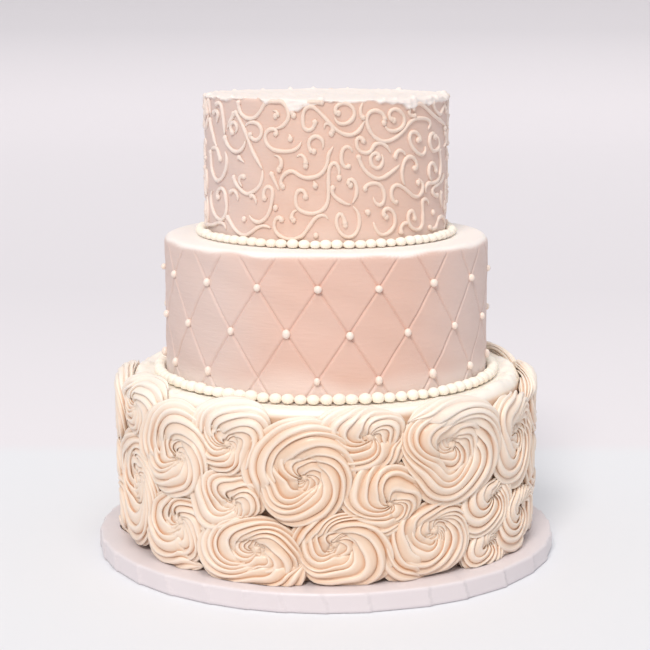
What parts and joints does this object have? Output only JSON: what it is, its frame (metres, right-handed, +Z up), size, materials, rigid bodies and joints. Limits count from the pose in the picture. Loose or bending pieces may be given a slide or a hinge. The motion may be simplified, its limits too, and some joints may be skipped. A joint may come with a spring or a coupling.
{
  "type": "tiered wedding cake",
  "caption": "Round tiered wedding cake on its foil-wrapped drum, with piped rosettes on the bottom tier, pearl-studded quilting on the middle tier and piped scrolls on the top tier.",
  "frame": {"origin": "centre of the drum's underside, on the table", "axes": "+Z up along the axis of the tiers; -Y is the front, seen in the picture; +X is the right"},
  "size_m": [0.3048, 0.3048, 0.3039],
  "materials": {
    "blush_icing": "smoothed buttercream, soft satin, pale blush",
    "rosette_icing": "piped buttercream, soft satin, peach ivory",
    "cream_icing": "piped buttercream, soft satin, cream white",
    "foil_wrap": "embossed foil paper, low sheen, pinkish white"
  },
  "bodies": {
    "root": {"cake_drum": "foil_wrap", "bottom_tier": "rosette_icing", "rosette_01": "rosette_icing", "rosette_02": "rosette_icing", "rosette_03": "rosette_icing", "rosette_04": "rosette_icing", "rosette_05": "rosette_icing", "rosette_06": "rosette_icing", "rosette_07": "rosette_icing", "rosette_08": "rosette_icing", "rosette_09": "rosette_icing", "rosette_10": "rosette_icing", "rosette_11": "rosette_icing", "rosette_12": "rosette_icing", "rosette_13": "rosette_icing", "rosette_14": "rosette_icing", "rosette_15": "rosette_icing", "rosette_16": "rosette_icing", "rosette_17": "rosette_icing", "rosette_18": "rosette_icing", "rosette_19": "rosette_icing", "rosette_20": "rosette_icing", "rosette_21": "rosette_icing", "rosette_22": "rosette_icing", "rosette_23": "rosette_icing", "rosette_24": "rosette_icing", "rosette_25": "rosette_icing", "rosette_26": "rosette_icing", "rosette_27": "rosette_icing", "rosette_28": "rosette_icing", "rosette_29": "rosette_icing", "rosette_30": "rosette_icing", "rosette_31": "rosette_icing", "rosette_32": "rosette_icing", "rosette_33": "rosette_icing", "rosette_34": "rosette_icing", "rosette_35": "rosette_icing", "rosette_36": "rosette_icing", "rosette_37": "rosette_icing", "rosette_38": "rosette_icing", "rosette_39": "rosette_icing", "rosette_40": "rosette_icing", "middle_tier": "blush_icing", "middle_bead_border": "cream_icing", "top_tier": "blush_icing", "top_bead_border": "cream_icing"}
  },
  "joints": []
}
